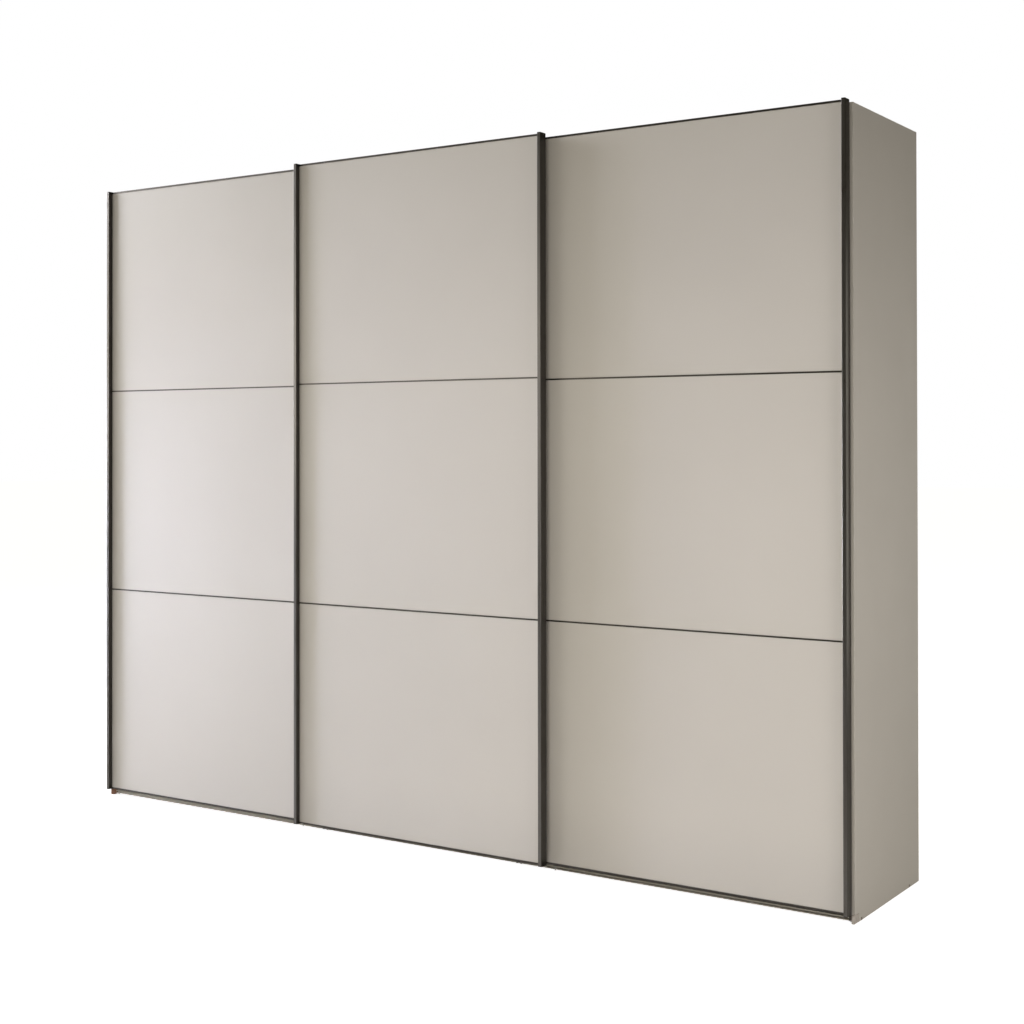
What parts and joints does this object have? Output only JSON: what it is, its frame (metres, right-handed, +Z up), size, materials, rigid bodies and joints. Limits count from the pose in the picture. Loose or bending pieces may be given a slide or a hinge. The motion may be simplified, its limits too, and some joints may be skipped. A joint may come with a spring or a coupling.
{
  "type": "sliding door wardrobe",
  "caption": "Tall wide wardrobe with hanging sliding doors in front of the case, dark full-height handle profiles, panelled fronts, shelves and clothes rails inside.",
  "frame": {"origin": "centre of the footprint on the floor, under the case and the doors together", "axes": "+Z up; +X to the right as one faces the doors, along the wardrobe's width; +Y from the doors towards the wall, so the doors face -Y"},
  "size_m": [2.8, 0.575, 2.1745],
  "materials": {
    "panel_lacquer": "satin pebble-grey lacquer on thin board",
    "case_lacquer": "matt pebble-grey melamine",
    "inner_board": "light textile-grain melamine",
    "dark_profile": "anthracite anodised, satin",
    "track_metal": "natural anodised, slightly dull",
    "sheet_steel": "zinc-plated sheet",
    "rail_metal": "bright anodised tube",
    "roller_plastic": "black moulded",
    "guide_plastic": "dark moulded"
  },
  "bodies": {
    "carcass": {"left_side": "case_lacquer", "right_side": "case_lacquer", "left_partition": "inner_board", "right_partition": "inner_board", "top_board": "inner_board", "left_bottom_board": "inner_board", "left_back": "inner_board", "left_shelf": "inner_board", "left_clothes_rail": "rail_metal", "middle_bottom_board": "inner_board", "middle_back": "inner_board", "middle_shelf": "inner_board", "middle_clothes_rail": "rail_metal", "right_bottom_board": "inner_board", "right_back": "inner_board", "right_shelf": "inner_board", "right_clothes_rail": "rail_metal", "top_track": "track_metal", "bottom_track": "track_metal"},
    "left_door": {"left_door_left_handle": "dark_profile", "left_door_right_handle": "dark_profile", "left_door_top_profile": "dark_profile", "left_door_bottom_profile": "dark_profile", "left_door_lower_strip": "dark_profile", "left_door_upper_strip": "dark_profile", "left_door_lower_panel": "panel_lacquer", "left_door_middle_panel": "panel_lacquer", "left_door_upper_panel": "panel_lacquer", "left_door_left_carriage": "sheet_steel", "left_door_right_carriage": "sheet_steel"},
    "left_door_left_roller_body": {"left_door_left_roller": "roller_plastic"},
    "left_door_right_roller_body": {"left_door_right_roller": "roller_plastic"},
    "middle_door": {"middle_door_left_handle": "dark_profile", "middle_door_right_handle": "dark_profile", "middle_door_top_profile": "dark_profile", "middle_door_bottom_profile": "dark_profile", "middle_door_lower_strip": "dark_profile", "middle_door_upper_strip": "dark_profile", "middle_door_lower_panel": "panel_lacquer", "middle_door_middle_panel": "panel_lacquer", "middle_door_upper_panel": "panel_lacquer", "middle_door_left_carriage": "sheet_steel", "middle_door_right_carriage": "sheet_steel", "middle_door_left_guide": "guide_plastic", "middle_door_right_guide": "guide_plastic"},
    "middle_door_left_roller_body": {"middle_door_left_roller": "roller_plastic"},
    "middle_door_right_roller_body": {"middle_door_right_roller": "roller_plastic"},
    "right_door": {"right_door_left_handle": "dark_profile", "right_door_right_handle": "dark_profile", "right_door_top_profile": "dark_profile", "right_door_bottom_profile": "dark_profile", "right_door_lower_strip": "dark_profile", "right_door_upper_strip": "dark_profile", "right_door_lower_panel": "panel_lacquer", "right_door_middle_panel": "panel_lacquer", "right_door_upper_panel": "panel_lacquer", "right_door_left_carriage": "sheet_steel", "right_door_right_carriage": "sheet_steel"},
    "right_door_left_roller_body": {"right_door_left_roller": "roller_plastic"},
    "right_door_right_roller_body": {"right_door_right_roller": "roller_plastic"}
  },
  "joints": [
    {"name": "left_door_slide", "type": "slide", "parent": "carcass", "child": "left_door", "axis": [1, 0, 0], "range_m": [0, 0.44]},
    {"name": "left_door_left_roller_spin", "type": "hinge", "parent": "left_door", "child": "left_door_left_roller_body", "pos_m": [-1.292, -0.2025, 2.1426], "axis": [0, 1, 0], "continuous": true},
    {"name": "left_door_right_roller_spin", "type": "hinge", "parent": "left_door", "child": "left_door_right_roller_body", "pos_m": [-0.544, -0.2025, 2.1426], "axis": [0, 1, 0], "continuous": true},
    {"name": "middle_door_slide", "type": "slide", "parent": "carcass", "child": "middle_door", "axis": [1, 0, 0], "range_m": [-0.918, 0.918]},
    {"name": "middle_door_left_roller_spin", "type": "hinge", "parent": "middle_door", "child": "middle_door_left_roller_body", "pos_m": [-0.374, -0.1785, 2.1426], "axis": [0, 1, 0], "continuous": true},
    {"name": "middle_door_right_roller_spin", "type": "hinge", "parent": "middle_door", "child": "middle_door_right_roller_body", "pos_m": [0.374, -0.1785, 2.1426], "axis": [0, 1, 0], "continuous": true},
    {"name": "right_door_slide", "type": "slide", "parent": "carcass", "child": "right_door", "axis": [1, 0, 0], "range_m": [-0.44, 0]},
    {"name": "right_door_left_roller_spin", "type": "hinge", "parent": "right_door", "child": "right_door_left_roller_body", "pos_m": [0.544, -0.2025, 2.1426], "axis": [0, 1, 0], "continuous": true},
    {"name": "right_door_right_roller_spin", "type": "hinge", "parent": "right_door", "child": "right_door_right_roller_body", "pos_m": [1.292, -0.2025, 2.1426], "axis": [0, 1, 0], "continuous": true}
  ],
  "couplings": [
    {"joint": "left_door_left_roller_spin", "follows": "left_door_slide", "rad_per_m": 83.333},
    {"joint": "left_door_right_roller_spin", "follows": "left_door_slide", "rad_per_m": 83.333},
    {"joint": "middle_door_left_roller_spin", "follows": "middle_door_slide", "rad_per_m": 83.333},
    {"joint": "middle_door_right_roller_spin", "follows": "middle_door_slide", "rad_per_m": 83.333},
    {"joint": "right_door_left_roller_spin", "follows": "right_door_slide", "rad_per_m": 83.333},
    {"joint": "right_door_right_roller_spin", "follows": "right_door_slide", "rad_per_m": 83.333}
  ]
}
